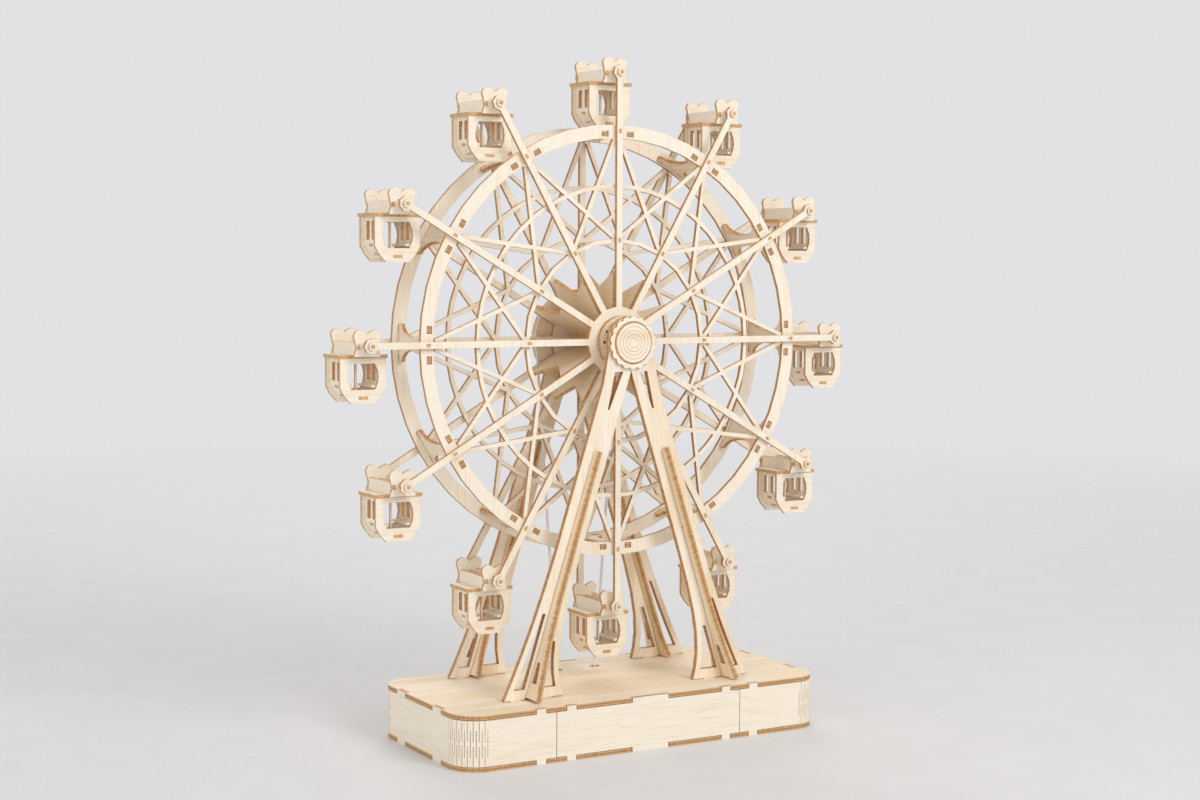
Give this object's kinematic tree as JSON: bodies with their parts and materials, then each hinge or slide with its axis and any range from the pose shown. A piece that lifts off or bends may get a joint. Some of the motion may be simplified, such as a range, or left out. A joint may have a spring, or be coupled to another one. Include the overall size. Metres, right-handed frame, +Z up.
{
  "type": "wooden musical ferris wheel",
  "caption": "laser-cut plywood ferris wheel that a wind-up musical movement in its base turns by a belt, with gondolas that stay upright",
  "frame": {"origin": "under the middle of the whole toy's bounding box, on the table", "axes": "+X along the base, seen to the right from the front; +Y from the front to the winding knob at the rear, along the wheel's axle; +Z up"},
  "size_m": [0.283, 0.1, 0.3305],
  "materials": {
    "plywood": "pale uncoated plywood with burnt laser-cut edges",
    "tanned_plywood": "plywood showing its burnt cut edge",
    "brass": "plain turned brass",
    "steel": "plain bright steel",
    "zinc": "die-cast zinc",
    "clear_elastic": "clear elastic cord"
  },
  "bodies": {
    "base": {"base_bottom_plate": "plywood", "base_front_panel": "plywood", "base_left_wall": "plywood", "base_rear_panel": "plywood", "base_right_wall": "plywood", "base_top_plate": "plywood", "drive_belt": "clear_elastic", "front_a_frame": "plywood", "front_cap_ring": "plywood", "front_left_brace": "tanned_plywood", "front_right_brace": "tanned_plywood", "movement_bedplate": "zinc", "movement_comb": "steel", "rear_a_frame": "plywood", "rear_cap_ring": "plywood", "rear_left_brace": "tanned_plywood", "rear_right_brace": "tanned_plywood"},
    "wheel": {"front_hub_cap": "plywood", "front_hub_disc": "tanned_plywood", "front_lattice": "plywood", "front_rim": "plywood", "front_spokes": "plywood", "hub_fins": "tanned_plywood", "rear_hub_cap": "plywood", "rear_lattice": "plywood", "rear_rim": "plywood", "rear_spokes": "plywood", "rim_strut_01": "plywood", "rim_strut_02": "plywood", "rim_strut_03": "plywood", "rim_strut_04": "plywood", "rim_strut_05": "plywood", "rim_strut_06": "plywood", "rim_strut_07": "plywood", "rim_strut_08": "plywood", "rim_strut_09": "plywood", "rim_strut_10": "plywood", "rim_strut_11": "plywood", "rim_strut_12": "plywood", "wheel_axle": "steel", "wheel_pulley": "plywood"},
    "gondola_01_body": {"gondola_01": "plywood"},
    "gondola_02_body": {"gondola_02": "plywood"},
    "gondola_03_body": {"gondola_03": "plywood"},
    "gondola_04_body": {"gondola_04": "plywood"},
    "gondola_05_body": {"gondola_05": "plywood"},
    "gondola_06_body": {"gondola_06": "plywood"},
    "gondola_07_body": {"gondola_07": "plywood"},
    "gondola_08_body": {"gondola_08": "plywood"},
    "gondola_09_body": {"gondola_09": "plywood"},
    "gondola_10_body": {"gondola_10": "plywood"},
    "gondola_11_body": {"gondola_11": "plywood"},
    "gondola_12_body": {"gondola_12": "plywood"},
    "cylinder": {"movement_cylinder": "brass", "drive_pulley": "plywood"},
    "barrel": {"spring_barrel": "brass", "mainspring": "steel"},
    "governor": {"movement_governor": "brass"},
    "winding_key": {"winding_arbor": "steel", "winding_knob": "plywood"}
  },
  "joints": [
    {"name": "wheel_spin", "type": "hinge", "parent": "base", "child": "wheel", "pos_m": [0, 0.001, 0.1935], "axis": [0, 1, 0], "continuous": true},
    {"name": "gondola_01_swing", "type": "hinge", "parent": "wheel", "child": "gondola_01_body", "pos_m": [0, 0.001, 0.323], "axis": [0, 1, 0], "continuous": true},
    {"name": "gondola_02_swing", "type": "hinge", "parent": "wheel", "child": "gondola_02_body", "pos_m": [0.06475, 0.001, 0.30565], "axis": [0, 1, 0], "continuous": true},
    {"name": "gondola_03_swing", "type": "hinge", "parent": "wheel", "child": "gondola_03_body", "pos_m": [0.11215, 0.001, 0.25825], "axis": [0, 1, 0], "continuous": true},
    {"name": "gondola_04_swing", "type": "hinge", "parent": "wheel", "child": "gondola_04_body", "pos_m": [0.1295, 0.001, 0.1935], "axis": [0, 1, 0], "continuous": true},
    {"name": "gondola_05_swing", "type": "hinge", "parent": "wheel", "child": "gondola_05_body", "pos_m": [0.11215, 0.001, 0.12875], "axis": [0, 1, 0], "continuous": true},
    {"name": "gondola_06_swing", "type": "hinge", "parent": "wheel", "child": "gondola_06_body", "pos_m": [0.06475, 0.001, 0.08135], "axis": [0, 1, 0], "continuous": true},
    {"name": "gondola_07_swing", "type": "hinge", "parent": "wheel", "child": "gondola_07_body", "pos_m": [0, 0.001, 0.064], "axis": [0, 1, 0], "continuous": true},
    {"name": "gondola_08_swing", "type": "hinge", "parent": "wheel", "child": "gondola_08_body", "pos_m": [-0.06475, 0.001, 0.08135], "axis": [0, 1, 0], "continuous": true},
    {"name": "gondola_09_swing", "type": "hinge", "parent": "wheel", "child": "gondola_09_body", "pos_m": [-0.11215, 0.001, 0.12875], "axis": [0, 1, 0], "continuous": true},
    {"name": "gondola_10_swing", "type": "hinge", "parent": "wheel", "child": "gondola_10_body", "pos_m": [-0.1295, 0.001, 0.1935], "axis": [0, 1, 0], "continuous": true},
    {"name": "gondola_11_swing", "type": "hinge", "parent": "wheel", "child": "gondola_11_body", "pos_m": [-0.11215, 0.001, 0.25825], "axis": [0, 1, 0], "continuous": true},
    {"name": "gondola_12_swing", "type": "hinge", "parent": "wheel", "child": "gondola_12_body", "pos_m": [-0.06475, 0.001, 0.30565], "axis": [0, 1, 0], "continuous": true},
    {"name": "cylinder_spin", "type": "hinge", "parent": "base", "child": "cylinder", "pos_m": [0, 0.001, 0.013], "axis": [0, 1, 0], "continuous": true},
    {"name": "barrel_spin", "type": "hinge", "parent": "base", "child": "barrel", "pos_m": [0.01365, 0.001, 0.013], "axis": [0, 1, 0], "continuous": true},
    {"name": "governor_spin", "type": "hinge", "parent": "base", "child": "governor", "pos_m": [0.02625, 0.001, 0.013], "axis": [0, 1, 0], "continuous": true},
    {"name": "winding_spin", "type": "hinge", "parent": "base", "child": "winding_key", "pos_m": [0.01365, 0.001, 0.013], "axis": [0, 1, 0], "continuous": true}
  ],
  "couplings": [
    {"joint": "gondola_01_swing", "follows": "wheel_spin", "ratio": -1},
    {"joint": "gondola_02_swing", "follows": "wheel_spin", "ratio": -1},
    {"joint": "gondola_03_swing", "follows": "wheel_spin", "ratio": -1},
    {"joint": "gondola_04_swing", "follows": "wheel_spin", "ratio": -1},
    {"joint": "gondola_05_swing", "follows": "wheel_spin", "ratio": -1},
    {"joint": "gondola_06_swing", "follows": "wheel_spin", "ratio": -1},
    {"joint": "gondola_07_swing", "follows": "wheel_spin", "ratio": -1},
    {"joint": "gondola_08_swing", "follows": "wheel_spin", "ratio": -1},
    {"joint": "gondola_09_swing", "follows": "wheel_spin", "ratio": -1},
    {"joint": "gondola_10_swing", "follows": "wheel_spin", "ratio": -1},
    {"joint": "gondola_11_swing", "follows": "wheel_spin", "ratio": -1},
    {"joint": "gondola_12_swing", "follows": "wheel_spin", "ratio": -1},
    {"joint": "cylinder_spin", "follows": "wheel_spin", "ratio": 2.35},
    {"joint": "barrel_spin", "follows": "wheel_spin", "ratio": -1.4688},
    {"joint": "governor_spin", "follows": "wheel_spin", "ratio": 2.9375}
  ]
}
